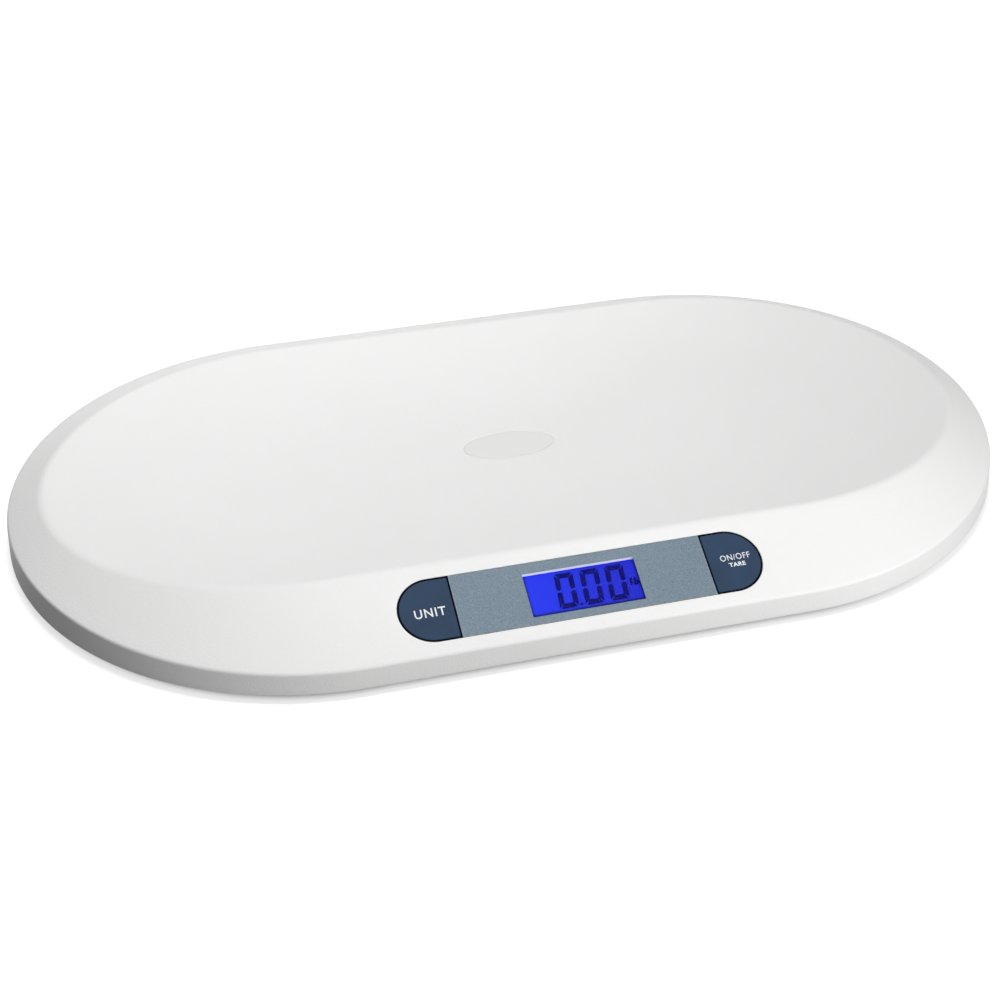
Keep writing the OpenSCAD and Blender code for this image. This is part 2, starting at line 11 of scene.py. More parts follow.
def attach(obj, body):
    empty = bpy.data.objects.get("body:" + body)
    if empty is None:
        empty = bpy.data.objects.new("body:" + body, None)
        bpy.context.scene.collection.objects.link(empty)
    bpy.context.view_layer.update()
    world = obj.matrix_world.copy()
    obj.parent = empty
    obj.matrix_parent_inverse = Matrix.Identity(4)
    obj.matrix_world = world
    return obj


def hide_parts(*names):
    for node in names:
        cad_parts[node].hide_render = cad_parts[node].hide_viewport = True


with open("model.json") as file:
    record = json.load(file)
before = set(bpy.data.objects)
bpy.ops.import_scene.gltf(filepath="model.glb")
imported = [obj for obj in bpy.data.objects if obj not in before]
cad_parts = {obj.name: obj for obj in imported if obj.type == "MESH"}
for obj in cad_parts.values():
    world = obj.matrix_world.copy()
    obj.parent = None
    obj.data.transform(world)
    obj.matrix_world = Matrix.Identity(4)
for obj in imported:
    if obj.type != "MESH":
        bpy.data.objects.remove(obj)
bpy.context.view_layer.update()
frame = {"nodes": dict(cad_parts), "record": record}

NODES = frame["nodes"]
MM = 0.001
ORIGIN = (0, 0, 0)

# ---------- dimensions in millimetres, as in the CAD ----------

HALF_L, HALF_W, SIDE_HALF = 280, 165, 115
SKIRT_Z, SKIRT_DRAFT, SHOULDER_Z, SHOULDER_RISE, WALL_T = 5, 1.2, 17, 4.1, 2.5
CREST_L, CREST_W, CREST_HALF, CREST_Y, CREST_Z, CREST_DROP = 259.6, 119.1, 120, 2.5, 37.6, 8.4
FLOOR_Z, BOWL_POWER, LEVEL_HALF, INNER_ROUND = 21.4, 2.3, 100, 2
PANEL_L, PANEL_H, PANEL_UP = 95, 17.6, 25.2
KEY_EDGE, SLOT_GAP, RIM_T, KEY_GAP = 66.5, 0.4, 0.6, 0.3
BEZEL_T, LIP_T, BEZEL_FIT = 2.2, 0.9, 0.1
WINDOW_L, WINDOW_H, WINDOW_V = 29.2, 12.3, -1
PANE_L, PANE_H, PANE_T = 33, 15.6, 0.8
GLASS_L, GLASS_H, GLASS_W, GLASS_T = 31, 14, -3.1, 2.8
KEY_X, POST_R, POST_W = 80, 2.5, -5.4
BADGE_L, BADGE_H, BADGE_Y, BADGE_Z = 26, 13, 3.9, 20.8
FOOT_X, FOOT_Y, PAD_R, PAD_T = 185, 95, 14.5, 3
CUP_Z, CUP_R, CUP_TOP, NECK_R = 2, 16, 4.6, 11.8
FLANGE_Z, FLANGE_TOP, FLANGE_R, BUTTON_R, CELL_Z = 7.8, 8.4, 13.8, 4, 9

# roundings of the tray's outer edges, which are the scene's own
SHOULDER_ROUND, CREST_ROUND, FOOT_ROUND = 1.4, 2.95, 0.6

SLOPE_FOOT = Vector((-(HALF_W - SKIRT_DRAFT), SHOULDER_Z))
SLOPE_TOP = Vector((CREST_Y - CREST_W, CREST_Z))
SLOPE_A = math.atan2(SLOPE_TOP.y - SLOPE_FOOT.y, SLOPE_TOP.x - SLOPE_FOOT.x)
COS_A, SIN_A = math.cos(SLOPE_A), math.sin(SLOPE_A)
PANEL_Y = SLOPE_FOOT.x + PANEL_UP * COS_A
PANEL_Z = SLOPE_FOOT.y + PANEL_UP * SIN_A
DROP_T = WALL_T / COS_A


def on_panel(x, v, w):
    """Panel coordinates, along, up and out of the slope, as a point in the object's frame."""
    return Vector((x, PANEL_Y + v * COS_A - w * SIN_A, PANEL_Z + v * SIN_A + w * COS_A))


def to_panel(p):
    """Where a point lies along and up the slope, from the panel's middle."""
    y, z = p.y - PANEL_Y, p.z - PANEL_Z
    return Vector((p.x, y * COS_A + z * SIN_A))


# ---------- node helpers ----------

NOISE_LOW, NOISE_HIGH = 0.3, 0.7      # a noise texture's values lie mostly between these


def feed(tree, value, socket):
    """Link an output to a socket, or give the socket a plain value."""
    if isinstance(value, bpy.types.NodeSocket):
        tree.links.new(value, socket)
    else:
        socket.default_value = value


def shaded_point(tree):
    """The shaded point in the object's own metres."""
    return tree.nodes.new("ShaderNodeTexCoord").outputs["Object"]


def shaded_xyz(tree):
    """The shaded point's outputs X, Y and Z."""
    split = tree.nodes.new("ShaderNodeSeparateXYZ")
    tree.links.new(shaded_point(tree), split.inputs["Vector"])
    return split.outputs


def noise(tree, scale, detail=2.0, point=None):
    tex = tree.nodes.new("ShaderNodeTexNoise")
    tex.inputs["Scale"].default_value = scale
    tex.inputs["Detail"].default_value = detail
    tree.links.new(point or shaded_point(tree), tex.inputs["Vector"])
    return tex.outputs["Fac"]


def ramp(tree, fac, low, high, start=NOISE_LOW, end=NOISE_HIGH):
    """A colour that follows fac from low to high."""
    r = tree.nodes.new("ShaderNodeValToRGB")
    first, last = r.color_ramp.elements
    first.position, last.position = start, end
    first.color, last.color = (*low, 1), (*high, 1)
    tree.links.new(fac, r.inputs["Fac"])
    return r.outputs["Color"]


def remap(tree, value, start, end, low=0.0, high=1.0, curve="LINEAR"):
    """A number that follows value from low at start to high at end."""
    m = tree.nodes.new("ShaderNodeMapRange")
    m.interpolation_type = curve
    m.inputs["From Min"].default_value, m.inputs["From Max"].default_value = start, end
    m.inputs["To Min"].default_value, m.inputs["To Max"].default_value = low, high
    tree.links.new(value, m.inputs["Value"])
    return m.outputs["Result"]


def span(tree, fac, low, high):
    """A number that follows a noise texture from low to high."""
    return remap(tree, fac, NOISE_LOW, NOISE_HIGH, low, high)


def maths(tree, operation, *values):
    """One step of arithmetic on outputs and plain numbers."""
    m = tree.nodes.new("ShaderNodeMath")
    m.operation = operation
    for value, socket in zip(values, m.inputs):
        feed(tree, value, socket)
    return m.outputs["Value"]


def mixed(tree, a, b, factor=1.0, blend="MIX"):
    """Two colours mixed; each of a, b and factor is an output or a plain value."""
    m = tree.nodes.new("ShaderNodeMix")
    m.data_type, m.blend_type = "RGBA", blend
    for value, socket in ((factor, "Factor"), (a, "A"), (b, "B")):
        feed(tree, value, m.inputs[socket])
    return m.outputs["Result"]


def bump(tree, shader, height, distance, strength=1.0):
    b = tree.nodes.new("ShaderNodeBump")
    b.inputs["Distance"].default_value = distance
    b.inputs["Strength"].default_value = strength
    tree.links.new(height, b.inputs["Height"])
    tree.links.new(b.outputs["Normal"], shader.inputs["Normal"])


def tint(colour, share):
    return tuple(min(1, c * (1 + share)) for c in colour)


def varied(tree, fac, colour, share):
    """A colour that varies by a share of itself to either side."""
    return ramp(tree, fac, tint(colour, -share), tint(colour, share))


# ---------- materials ----------

def material(name):
    m = bpy.data.materials.new(name)
    m.use_nodes = True
    return m, m.node_tree, m.node_tree.nodes["Principled BSDF"]


def moulded(name, colour, rough, grain, depth, vary, drift=14, gloss=0.5):
    """Moulded plastic or rubber: fine grain in surface and sheen, and a slow drift in colour."""
    m, tree, shader = material(name)
    fine = noise(tree, grain)
    tree.links.new(varied(tree, noise(tree, drift, 3), colour, vary), shader.inputs["Base Color"])
    tree.links.new(span(tree, fine, rough - 0.05, rough + 0.05), shader.inputs["Roughness"])
    shader.inputs["Specular IOR Level"].default_value = gloss
    bump(tree, shader, fine, depth, 0.6)
    return m


def metal(name, colour, rough, grain=2500):
    """Bare or plated metal, with fine drawing marks along X."""
    m, tree, shader = material(name)
    stretch = tree.nodes.new("ShaderNodeMapping")
    stretch.inputs["Scale"].default_value = (0.08, 1, 1)
    tree.links.new(shaded_point(tree), stretch.inputs["Vector"])
    marks = noise(tree, grain, point=stretch.outputs["Vector"])
    tree.links.new(varied(tree, marks, colour, 0.12), shader.inputs["Base Color"])
    tree.links.new(span(tree, marks, rough - 0.08, rough + 0.08), shader.inputs["Roughness"])
    shader.inputs["Metallic"].default_value = 1.0
    bump(tree, shader, marks, 0.000004)
    return m


def lacquer(name, colour):
    """Silver-grey metallic lacquer: bright and dark flakes, and a faint drift along the panel."""
    m, tree, shader = material(name)
    flakes = noise(tree, 1900, 3)
    look = ramp(tree, flakes, tint(colour, -0.24), tint(colour, 0.24), 0.36, 0.64)
    for scale, detail, dull in ((700, 2, (0.93, 0.94, 0.95)), (22, 1, (0.93, 0.93, 0.94))):
        veil = ramp(tree, noise(tree, scale, detail), dull, (1, 1, 1))
        look = mixed(tree, look, veil, blend="MULTIPLY")
    tree.links.new(look, shader.inputs["Base Color"])
    tree.links.new(span(tree, flakes, 0.30, 0.42), shader.inputs["Roughness"])
    shader.inputs["Metallic"].default_value = 0.4
    bump(tree, shader, flakes, 0.000014, 0.7)
    return m


def clear(name, colour, rough):
    """Clear or frosted plastic, with a faint haze in its gloss."""
    m, tree, shader = material(name)
    haze = noise(tree, 60)
    tree.links.new(varied(tree, haze, colour, 0.01), shader.inputs["Base Color"])
    tree.links.new(span(tree, haze, rough, rough + 0.02), shader.inputs["Roughness"])
    shader.inputs["Transmission Weight"].default_value = 1.0
    shader.inputs["IOR"].default_value = 1.08
    return m


def lit_from_behind(tree, shader, light, base):
    """A matt face that gives out a light of its own."""
    tree.links.new(light, shader.inputs["Emission Color"])
    shader.inputs["Emission Strength"].default_value = 1.0
    shader.inputs["Base Color"].default_value = (*base, 1)
    shader.inputs["Roughness"].default_value = 0.5
    shader.inputs["Specular IOR Level"].default_value = 0.1


LAMP_END, FAR_END = -29, 30           # ends of the change along the display, in millimetres
LOWER_PAINTED_SHADE = (-11.4, -10.0)            # up the panel, from the painted shade at the rim to the full light
LEFT_PAINTED_SHADE = (-28.5, -27.2)             # along the panel, the same
# share of the display's light left in the painted shade at the rims
LIGHT_IN_PAINTED_SHADE = 0.18


def backlit(name):
    """The display's lit face: bright at the lamp end, deeper at the far end, with painted shade
    along two rims.
    """
    m, tree, shader = material(name)
    xyz = shaded_xyz(tree)
    along = remap(tree, xyz["X"], LAMP_END * MM, FAR_END * MM)
    uneven = maths(tree, "MULTIPLY_ADD", noise(tree, 45, 1), 0.25, along)
    light = ramp(tree, uneven, (0.013, 0.034, 0.78), (0.011, 0.018, 0.54), 0.15, 1.0)
    lower_painted_shade = [on_panel(0, v, GLASS_W).y for v in LOWER_PAINTED_SHADE]
    # painted shade along the lower and left rims, as cast by the bezel's edge
    for axis, (dark, lit) in (("Y", lower_painted_shade), ("X", LEFT_PAINTED_SHADE)):
        dim = tree.nodes.new("ShaderNodeVectorMath")
        dim.operation = "SCALE"
        edge = remap(tree, xyz[axis], dark * MM, lit * MM, LIGHT_IN_PAINTED_SHADE, 1.0, "SMOOTHSTEP")
        tree.links.new(light, dim.inputs[0])
        tree.links.new(edge, dim.inputs["Scale"])
        light = dim.outputs["Vector"]
    lit_from_behind(tree, shader, light, (0.01, 0.012, 0.12))
    return m


def inked(name):
    """A dark display segment, through which a little of the light comes."""
    m, tree, shader = material(name)
    light = ramp(tree, noise(tree, 900), (0.0004, 0.001, 0.125), (0.0006, 0.0015, 0.165))
    lit_from_behind(tree, shader, light, (0.001, 0.001, 0.01))
    return m


def painted_glow_wall(name):
    """Pale plastic with a painted glow, as of the display's light, on it: the top wall of the
    window's opening.
    """
    m = moulded(name, (0.70, 0.70, 0.80), 0.35, 2200, 0.000005, 0.03, 60)
    shader = m.node_tree.nodes["Principled BSDF"]
    # painted glow: the wall gives out light as if the display lit it
    shader.inputs["Emission Color"].default_value = (0.62, 0.62, 0.95, 1)
    shader.inputs["Emission Strength"].default_value = 0.35
    return m


def board(name):
    """Green solder mask with faint copper tracks under it."""
    m, tree, shader = material(name)
    tracks = tree.nodes.new("ShaderNodeTexBrick")
    tracks.inputs["Scale"].default_value = 320
    tracks.inputs["Mortar Size"].default_value = 0.03
    tracks.inputs["Color1"].default_value = (0.010, 0.115, 0.045, 1)
    tracks.inputs["Color2"].default_value = (0.012, 0.130, 0.050, 1)
    tracks.inputs["Mortar"].default_value = (0.030, 0.200, 0.085, 1)
    tree.links.new(shaded_point(tree), tracks.inputs["Vector"])
    tree.links.new(tracks.outputs["Color"], shader.inputs["Base Color"])
    tree.links.new(span(tree, noise(tree, 120), 0.22, 0.34), shader.inputs["Roughness"])
    return m


COPPER_FROM = 11      # millimetres from the middle of the battery bay


def sleeve(name):
    """Plain battery sleeve: green in the middle, copper-coloured towards both ends."""
    m, tree, shader = material(name)
    out_by = maths(tree, "ABSOLUTE", shaded_xyz(tree)["X"])
    at_end = maths(tree, "GREATER_THAN", out_by, COPPER_FROM * MM)
    wave = noise(tree, 200)
    green = ramp(tree, wave, (0.02, 0.16, 0.05), (0.025, 0.20, 0.065))
    copper = ramp(tree, wave, (0.50, 0.27, 0.13), (0.58, 0.32, 0.16))
    tree.links.new(mixed(tree, green, copper, at_end), shader.inputs["Base Color"])
    tree.links.new(span(tree, wave, 0.25, 0.35), shader.inputs["Roughness"])
    shader.inputs["Metallic"].default_value = 0.3
    return m


# colour, roughness, grain to the metre, its depth in metres, share by which the colour varies,
# its drift to the metre, gloss
MOULDED = {
    "shell_white": ((0.90, 0.902, 0.896), 0.46, 950, 0.00026, 0.008, 14, 0.18),
    "base_white": ((0.84, 0.845, 0.84), 0.48, 1300, 0.00002, 0.012),
    "badge_grey": ((0.84, 0.838, 0.834), 0.36, 2200, 0.000005, 0.01, 14, 0.3),
    "key_slate": ((0.0225, 0.046, 0.090), 0.46, 1500, 0.00004, 0.14, 60, 0.3),
    "carrier_black": ((0.003, 0.003, 0.004), 0.6, 1500, 0.00001, 0.2, 60, 0.06),
    "foam_black": ((0.02, 0.02, 0.02), 0.95, 2500, 0.00006, 0.3, 300, 0.1),
    "led_yellow": ((0.85, 0.78, 0.4), 0.3, 2500, 0.000004, 0.05, 300),
    "zebra_grey": ((0.22, 0.24, 0.27), 0.7, 2500, 0.00001, 0.2, 900),
    "chip_black": ((0.015, 0.015, 0.016), 0.5, 2600, 0.00001, 0.15, 300),
    "stem_brown": ((0.16, 0.07, 0.03), 0.45, 2600, 0.000008, 0.1, 300),
    "part_tan": ((0.42, 0.31, 0.17), 0.5, 2600, 0.000008, 0.15, 600),
    "socket_ivory": ((0.80, 0.76, 0.62), 0.45, 2000, 0.000008, 0.03, 200),
    "gauge_amber": ((0.60, 0.36, 0.09), 0.35, 2600, 0.000005, 0.12, 700),
    "pad_grey": ((0.11, 0.11, 0.115), 0.8, 1500, 0.00003, 0.08, 90, 0.3),
    "lead_grey": ((0.30, 0.30, 0.30), 0.5, 1500, 0.00001, 0.06, 120),
    "lead_red": ((0.50, 0.02, 0.02), 0.4, 1500, 0.00001, 0.06, 120),
    "lead_black": ((0.015, 0.015, 0.015), 0.4, 1500, 0.00001, 0.1, 120),
}
MATERIALS = {name: moulded(name, *look) for name, look in MOULDED.items()}
MATERIALS.update({
    "bezel_silver": lacquer("bezel_silver", (0.20, 0.262, 0.315)),
    "window_clear": clear("window_clear", (0.97, 0.98, 1.0), 0.0),
    "guide_clear": clear("guide_clear", (0.9, 0.94, 1.0), 0.3),
    "lcd_blue": backlit("lcd_blue"),
    "board_green": board("board_green"),
    "bright_steel": metal("bright_steel", (0.62, 0.62, 0.63), 0.28),
    "cell_steel": metal("cell_steel", (0.46, 0.47, 0.49), 0.38, 1800),
    "sleeve_green": sleeve("sleeve_green"),
})
# finishes without a slot of their own
# the top wall of the window's opening, pale with a painted glow
WALL_PAINTED_GLOW = painted_glow_wall("window_wall")
# the other walls of the window's opening, dark blue: painted shade
WALL_PAINTED_SHADE = moulded("window_wall_side", (0.03, 0.035, 0.20), 0.5, 2200, 0.000005, 0.1, 60, 0.1)
# a lighter lacquer on the bezel's end edges: a painted highlight
EDGE_PAINTED_HIGHLIGHT = lacquer("bezel_edge_painted_highlight", (0.55, 0.58, 0.61))
INK = inked("segment_ink")
PRINT = moulded("legend_print", (0.86, 0.87, 0.88), 0.5, 2600, 0.000004, 0.02, 300)

# ---------- mesh helpers ----------


def new_object(name, data):
    obj = bpy.data.objects.new(name, data)
    bpy.context.scene.collection.objects.link(obj)
    return obj


def piece(name, verts, faces, body, slot, replaces=(), materials=(), face_material=None, sharp=35):
    """A closed mesh in millimetres of the object's frame, made a piece of the object."""
    mesh = bpy.data.meshes.new(name)
    mesh.from_pydata([Vector(v) * MM for v in verts], [], faces)
    for m in materials or [MATERIALS[slot]]:
        mesh.materials.append(m)
    if face_material:
        mesh.polygons.foreach_set("material_index", face_material)
    bm = bmesh.new()
    bm.from_mesh(mesh)
    bmesh.ops.recalc_face_normals(bm, faces=bm.faces)
    bm.to_mesh(mesh)
    bm.free()
    mesh.shade_smooth()
    mesh.set_sharp_from_angle(angle=math.radians(sharp))
    obj = new_object(name, mesh)
    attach(obj, body)
    if replaces:
        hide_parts(*replaces)


def bridge(faces, a, b):
    """Adds quads between two closed rings of as many vertex numbers."""
    n = len(a)
    for i in range(n):
        j = (i + 1) % n
        faces.append((a[i], a[j], b[j], b[i]))


def add_rings(verts, faces, rings):
    """Adds rings of points, each joined to the next, and returns their vertex numbers."""
    ids = []
    for ring in rings:
        ids.append(list(range(len(verts), len(verts) + len(ring))))
        verts += ring
    for a, b in zip(ids, ids[1:]):
        bridge(faces, a, b)
    return ids


def stack(rings, closed=False):
    """Verts and faces of a solid made of rings; closed joins the last ring to the first."""
    verts, faces = [], []
    ids = add_rings(verts, faces, rings)
    if closed:
        bridge(faces, ids[-1], ids[0])
    else:
        faces += [tuple(reversed(ids[0])), tuple(ids[-1])]
    return verts, faces


def merge(*parts):
    """Several (verts, faces) as one."""
    verts, faces = [], []
    for v, f in parts:
        base = len(verts)
        verts += v
        faces += [tuple(i + base for i in face) for face in f]
    return verts, faces


def arc(cx, cy, rx, ry, start, end, n):
    turns = [math.radians(start + (end - start) * i / n) for i in range(n + 1)]
    return [(cx + rx * math.cos(a), cy + ry * math.sin(a)) for a in turns]


def oval(cx, cy, rx, ry, n):
    return arc(cx, cy, rx, ry, 0, 360 - 360 / n, n - 1)


def pill(l, h, n=48):
    return arc(l - h, 0, h, h, -90, 90, n) + arc(h - l, 0, h, h, 90, 270, n)


def rounded_box(cx, cy, hx, hy, r, n=6):
    out = []
    for sx, sy, a in ((1, -1, -90), (1, 1, 0), (-1, 1, 90), (-1, -1, 180)):
        out += arc(cx + sx * (hx - r), cy + sy * (hy - r), r, r, a, a + 90, n)
    return out


def d_shape(d, r=0.5):
    """The right-hand key's outline, drawn in by d: a straight left edge and a half circle."""
    x0 = KEY_EDGE + SLOT_GAP + d
    l, h = PANEL_L - RIM_T - KEY_GAP - d, PANEL_H - RIM_T - KEY_GAP - d
    return (arc(x0 + r, -h + r, r, r, 180, 270, 5) + arc(l - h, 0, h, h, -90, 90, 48)
            + arc(x0 + r, h - r, r, r, 90, 180, 5))


def ring_at(outline, w, side=1):
    """An outline on the panel as points at height w; side -1 mirrors it to the left."""
    return [on_panel(side * x, v, w) for x, v in outline]


def lathe(profile, cx, cy, n=96):
    """Solid of revolution about the vertical through (cx, cy), with flat ends."""
    turns = [2 * math.pi * i / n for i in range(n)]
    return stack([[Vector((cx + r * math.cos(a), cy + r * math.sin(a), z)) for a in turns]
                  for r, z in profile])


def rounding(a, b, c, n):
    """Points of a quadratic rounding that leaves a, heads for b and arrives at c."""
    return [(1 - t) * (1 - t) * a + 2 * t * (1 - t) * b + t * t * c
            for t in (i / n for i in range(n + 1))]


# ---------- tray ----------
# Its skins run through stations round the oval. A station has its share of the straight side,
# then the cosine and sine of its turn round the end.

ARC_STEPS, SIDE_STEPS = 88, 12
PANEL_MARK = 0.86           # share of the straight side that the flat round the panel takes


def stations():
    """The stations counter-clockwise, from the right end of the front."""
    inner = [PANEL_MARK * (1 - 2 * i / SIDE_STEPS) for i in range(SIDE_STEPS + 1)]
    beyond = 1 - (1 - PANEL_MARK) / 2
    out = []
    for side in (1, -1):
        for i in range(ARC_STEPS + 1):
            a = -math.pi / 2 + math.pi * i / ARC_STEPS
            out.append((side, math.cos(a), side * math.sin(a)))
        out += [(side * m, 0, side) for m in (beyond, *inner, -beyond)]
    return out


def rise(x):
    """0 along the level middle, then up to 1 at the ends."""
    return (max(abs(x) - LEVEL_HALF, 0) / (HALF_L - LEVEL_HALF)) ** 2


def track(st, length, width, straight, y=0.0):
    """A station's point on an oval of these half sizes."""
    share, cosine, sine = st
    side = 1 if share > 0 else -1
    return Vector((share * straight + side * cosine * (length - straight), y + sine * width))


def foot_pt(st, d):
    p = track(st, HALF_L - d, HALF_W - d, SIDE_HALF)
    return Vector((p.x, p.y, SKIRT_Z))


def shoulder_pt(st, d, dz):
    p = track(st, HALF_L - SKIRT_DRAFT - d, HALF_W - SKIRT_DRAFT - d, SIDE_HALF)
    return Vector((p.x, p.y, SHOULDER_Z + SHOULDER_RISE * rise(p.x) + dz))


def crest_pt(st, dz):
    p = track(st, CREST_L, CREST_W, CREST_HALF, CREST_Y)
    return Vector((p.x, p.y, CREST_Z - CREST_DROP * rise(p.x) + dz))


def bowl_pt(st, s, dz):
    """A point of the dish, at a share s of the way from its middle to the crest."""
    c = crest_pt(st, 0)
    return Vector((c.x * s, CREST_Y + (c.y - CREST_Y) * s,
                   FLOOR_Z + (c.z - FLOOR_Z) * s ** BOWL_POWER + dz))


def oval_share(st, grow):
    """Share of the way to the crest at which a station's ray leaves the badge's oval."""
    c = crest_pt(st, 0)
    dx, dy = c.x / (BADGE_L + grow), (c.y - CREST_Y) / (BADGE_H + grow)
    oy = (CREST_Y - BADGE_Y) / (BADGE_H + grow)
    qa, qb, qc = dx * dx + dy * dy, 2 * dy * oy, oy * oy - 1
    return (-qb + math.sqrt(qb * qb - 4 * qa * qc)) / (2 * qa)


def reach(st):
    """Level distance from the dish's middle to the crest."""
    c = crest_pt(st, 0)
    return math.hypot(c.x, c.y - CREST_Y)


SKIRT_ROWS, SLOPE_ROWS, BOWL_ROWS, UNDER_ROWS = 3, 8, 30, 9
BOWL_CLOSING = 0.85         # below 1, the dish's rows lie closer together towards the badge
# grow of the badge's oval, and drop of the edge of its recess there
RECESS = ((0.42, 0), (0.30, -0.03), (0.22, -0.12), (0.18, -0.26))
# grow of the panel's pill, and depth there: a rounded edge, then a plain wall through the shell
OPENING = ((0.55, 0), (0.42, -0.02), (0.30, -0.08), (0.20, -0.20), (0.15, -0.36), (0.15, -WALL_T))


def outer_profile(st):
    """Rows over the outer skin, from the skirt's foot to the floor of the badge's recess,
    and between which of them the slope is straight."""
    foot, shoulder, crest = foot_pt(st, 0), shoulder_pt(st, 0, 0), crest_pt(st, 0)
    up, over = (shoulder - foot).normalized(), (crest - shoulder).normalized()
    inward = (foot_pt(st, 1) - foot).normalized()
    rows = rounding(foot + inward * FOOT_ROUND, foot, foot + up * FOOT_ROUND, 4)
    skirt_end = shoulder - up * SHOULDER_ROUND
    rows += [rows[-1].lerp(skirt_end, i / (SKIRT_ROWS + 1)) for i in range(1, SKIRT_ROWS + 1)]
    rows += rounding(skirt_end, shoulder, shoulder + over * SHOULDER_ROUND, 9)
    slope_from = len(rows) - 1
    slope_end = crest - over * CREST_ROUND
    rows += [rows[-1].lerp(slope_end, i / SLOPE_ROWS) for i in range(1, SLOPE_ROWS)]
    slope_to = len(rows)
    s_from = 1 - CREST_ROUND / reach(st)
    rows += rounding(slope_end, crest, bowl_pt(st, s_from, 0), 12)
    s_to = oval_share(st, RECESS[0][0])
    rows += [bowl_pt(st, s_from + (s_to - s_from) * (i / BOWL_ROWS) ** BOWL_CLOSING, 0)
             for i in range(1, BOWL_ROWS)]
    rows += [bowl_pt(st, oval_share(st, grow), drop) for grow, drop in RECESS]
    low = bowl_pt(st, oval_share(st, RECESS[-1][0]), 0)
    rows.append(Vector((low.x, low.y, BADGE_Z)))
    return rows, slope_from, slope_to


def inner_profile(st):
    """The same for the inner skin, from the skirt's foot to near the underside's middle."""
    foot = foot_pt(st, WALL_T)
    shoulder = shoulder_pt(st, WALL_T, WALL_T * math.tan(SLOPE_A) - DROP_T)
    crest = crest_pt(st, -DROP_T)
    up, over = (shoulder - foot).normalized(), (crest - shoulder).normalized()
    rows = [foot]
    rows += rounding(shoulder - up * INNER_ROUND, shoulder, shoulder + over * INNER_ROUND, 3)
    slope_from, slope_to = len(rows) - 1, len(rows)
    s_from = 1 - INNER_ROUND / reach(st)
    rows += rounding(crest - over * INNER_ROUND, crest, bowl_pt(st, s_from, -DROP_T), 3)
    rows += [bowl_pt(st, s_from * (1 - i / UNDER_ROWS), -DROP_T) for i in range(1, UNDER_ROWS)]
    return rows, slope_from, slope_to


def add_skin(verts, faces, profile, sts, front):
    """Adds a skin less the flat round the panel, and returns its vertex numbers by row, and
    the rows that bound the flat."""
    n = len(sts)
    profiles = [profile(st) for st in sts]
    first, last = profiles[0][1:]
    grid = []
    for row in zip(*(rows for rows, _, _ in profiles)):
        grid.append(list(range(len(verts), len(verts) + n)))
        verts += row
    for j in range(len(grid) - 1):
        for i in range(n):
            k = (i + 1) % n
            if not (first <= j < last and i in front and k in front):
                faces.append((grid[j][i], grid[j][k], grid[j + 1][k], grid[j + 1][i]))
    return grid, first, last


def inside(p, ring):
    hit = False
    for a, b in zip(ring, ring[1:] + ring[:1]):
        if (a.y > p.y) != (b.y > p.y) and p.x < a.x + (p.y - a.y) * (b.x - a.x) / (b.y - a.y):
            hit = not hit
    return hit


def plate_with_hole(verts, faces, rim, hole):
    """Adds triangles of the flat slope between a rim and a hole, both rings of vertex numbers."""
    ids = rim + hole
    flat = [to_panel(verts[i]) for i in ids]
    n = len(rim)
    edges = [(i, (i + 1) % n) for i in range(n)]
    edges += [(n + i, n + (i + 1) % len(hole)) for i in range(len(hole))]
    points, _, tris, came_from, _, _ = delaunay_2d_cdt(flat, edges, [list(range(n))], 1, 1e-6)
    for tri in tris:
        mid = sum((points[i] for i in tri), Vector((0, 0))) / 3
        if not inside(mid, flat[n:]):
            faces.append(tuple(ids[came_from[i][0]] for i in tri))


def build_tray():
    sts = stations()
    front = [i for i, (share, _, sine) in enumerate(sts)
             if sine == -1 and abs(share) <= PANEL_MARK]
    verts, faces = [], []
    outer = add_skin(verts, faces, outer_profile, sts, front)
    inner = add_skin(verts, faces, inner_profile, sts, front)
    bridge(faces, inner[0][0], outer[0][0])
    # floor of the badge's recess, and the middle of the underside
    faces.append(tuple(outer[0][-1]))
    pole, around = len(verts), inner[0][-1]
    verts.append(Vector((0, CREST_Y, FLOOR_Z - DROP_T)))
    faces += [(a, pole, b) for a, b in zip(around, around[1:] + around[:1])]
    walls = [ring_at(pill(PANEL_L + grow, PANEL_H + grow), w) for grow, w in OPENING]
    rings = add_rings(verts, faces, walls)
    for (grid, first, last), hole in ((outer, rings[0]), (inner, rings[-1])):
        rim = [grid[first][i] for i in front]
        rim += [grid[j][front[-1]] for j in range(first + 1, last)]
        rim += [grid[last][i] for i in reversed(front)]
        rim += [grid[j][front[0]] for j in range(last - 1, first, -1)]
        plate_with_hole(verts, faces, rim, hole)
    piece("cradle_tray", verts, faces, "casing", "shell_white", ["tray_shell"], sharp=50)


build_tray()

# ---------- badge ----------

BADGE_PROUD = 0.12          # how far the badge stands above the dish's floor


def build_badge():
    top = FLOOR_Z + BADGE_PROUD
    edge = ((0, BADGE_Z), (0, top - 0.16), (-0.05, top - 0.07), (-0.15, top - 0.02), (-0.32, top))
    rings = [[Vector((x, y, z)) for x, y in oval(0, BADGE_Y, BADGE_L + grow, BADGE_H + grow, 144)]
             for grow, z in edge]
    piece("oval_badge", *stack(rings), "casing", "badge_grey", ["center_badge"])


build_badge()

# ---------- display panel ----------

PLATE_CORNER, HOLE_CORNER = 0.4, 0.45
HOLE_WALL, END_EDGES = (0, 1), (7, 8)     # rows of the bezel's faces, counted from its hole's foot
NEAR = 0.5                                # how near a face lies to the edge that it belongs to


